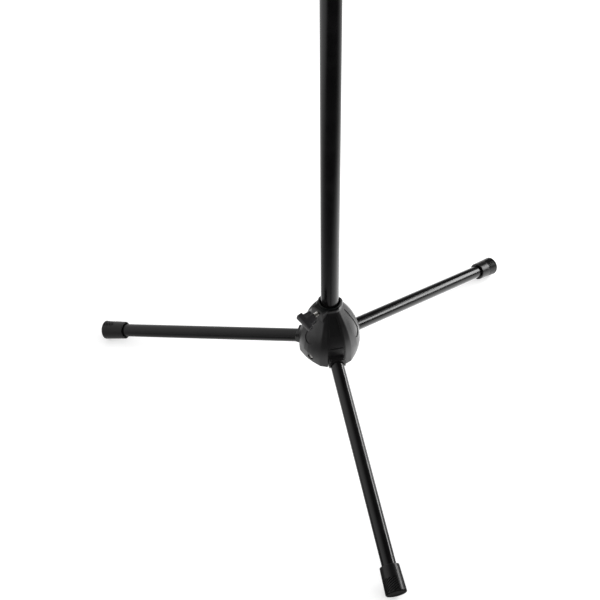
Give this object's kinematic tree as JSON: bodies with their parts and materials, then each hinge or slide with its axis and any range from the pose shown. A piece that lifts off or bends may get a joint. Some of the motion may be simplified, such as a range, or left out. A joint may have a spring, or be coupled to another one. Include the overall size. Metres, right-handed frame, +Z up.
{
  "type": "microphone stand",
  "caption": "Straight microphone stand: a telescoping mast with a twist clutch on a moulded hub with folding legs and rubber feet.",
  "frame": {"origin": "on the floor, in the middle of the stand's footprint box; the mast's axis is 85.1 mm behind it (+Y)", "axes": "+Z up along the mast, -Y towards the front leg, +X to the right seen from the front"},
  "size_m": [0.6028, 0.5246, 0.9508],
  "materials": {
    "hub_shell": "black moulded nylon with a soft satin grain",
    "mast_sleeve": "black moulded nylon",
    "leg_carrier": "dark coated steel",
    "shell_screw_front": "bright zinc plate",
    "shell_screw_right": "bright zinc plate",
    "shell_screw_left": "bright zinc plate",
    "clamp_nut": "bright zinc plate",
    "clamp_pad": "black moulded nylon",
    "clamp_screw": "bright zinc plate",
    "clamp_knob": "black moulded nylon with a fine grain",
    "leg_bracket_front": "black moulded nylon",
    "leg_tube_front": "satin gloss black enamel on steel tube",
    "pivot_pin_front": "plain steel pin",
    "foot_front": "matte black rubber",
    "leg_bracket_right": "black moulded nylon",
    "leg_tube_right": "satin gloss black enamel on steel tube",
    "pivot_pin_right": "plain steel pin",
    "foot_right": "matte black rubber",
    "leg_bracket_left": "black moulded nylon",
    "leg_tube_left": "satin gloss black enamel on steel tube",
    "pivot_pin_left": "plain steel pin",
    "foot_left": "matte black rubber",
    "mast_plug": "black moulded nylon",
    "mast_tube": "satin gloss black enamel on steel tube",
    "clutch_base": "black moulded nylon",
    "clutch_collet": "black moulded nylon",
    "clutch_grip": "matte black ribbed grip",
    "inner_rod": "satin gloss black enamel on steel tube",
    "rod_guide": "black moulded nylon",
    "thread_stud": "bright zinc plate"
  },
  "bodies": {
    "hub": {"hub_shell": "hub_shell", "mast_sleeve": "mast_sleeve", "leg_carrier": "leg_carrier", "clamp_nut": "clamp_nut", "shell_screw_front": "shell_screw_front", "shell_screw_right": "shell_screw_right", "shell_screw_left": "shell_screw_left", "pivot_pin_front": "pivot_pin_front", "pivot_pin_right": "pivot_pin_right", "pivot_pin_left": "pivot_pin_left"},
    "leg_front": {"leg_bracket_front": "leg_bracket_front", "leg_tube_front": "leg_tube_front", "foot_front": "foot_front"},
    "leg_right": {"leg_bracket_right": "leg_bracket_right", "leg_tube_right": "leg_tube_right", "foot_right": "foot_right"},
    "leg_left": {"leg_bracket_left": "leg_bracket_left", "leg_tube_left": "leg_tube_left", "foot_left": "foot_left"},
    "mast": {"mast_tube": "mast_tube", "mast_plug": "mast_plug", "clutch_base": "clutch_base", "clutch_collet": "clutch_collet"},
    "grip": {"clutch_grip": "clutch_grip"},
    "rod": {"inner_rod": "inner_rod", "rod_guide": "rod_guide", "thread_stud": "thread_stud"},
    "clamp_shoe": {"clamp_pad": "clamp_pad"},
    "clamp_wing": {"clamp_knob": "clamp_knob", "clamp_screw": "clamp_screw"}
  },
  "joints": [
    {"name": "leg_front_fold", "type": "hinge", "parent": "hub", "child": "leg_front", "pos_m": [0, 0.05606, 0.09594], "axis": [1, 0, 0], "range_deg": [0, 75]},
    {"name": "leg_right_fold", "type": "hinge", "parent": "hub", "child": "leg_right", "pos_m": [0.02511, 0.09956, 0.09594], "axis": [-0.5, 0.866, 0], "range_deg": [0, 75]},
    {"name": "leg_left_fold", "type": "hinge", "parent": "hub", "child": "leg_left", "pos_m": [-0.02511, 0.09956, 0.09594], "axis": [-0.5, -0.866, 0], "range_deg": [0, 75]},
    {"name": "mast_slide", "type": "slide", "parent": "hub", "child": "mast", "axis": [0, 0, 1], "range_m": [0, 0.025]},
    {"name": "grip_twist", "type": "hinge", "parent": "mast", "child": "grip", "pos_m": [0, 0.08506, 0.87], "axis": [0, 0, 1], "range_deg": [0, 90]},
    {"name": "rod_slide", "type": "slide", "parent": "mast", "child": "rod", "axis": [0, 0, 1], "range_m": [0, 0.62]},
    {"name": "clamp_feed", "type": "slide", "parent": "hub", "child": "clamp_shoe", "axis": [-0.866, -0.5, 0], "range_m": [0, 0.002]},
    {"name": "clamp_turn", "type": "hinge", "parent": "clamp_shoe", "child": "clamp_wing", "pos_m": [0, 0.08506, 0.16174], "axis": [-0.866, -0.5, 0], "range_deg": [0, 720]}
  ],
  "couplings": [
    {"joint": "clamp_feed", "follows": "clamp_turn", "m_per_rad": 0.000159}
  ]
}
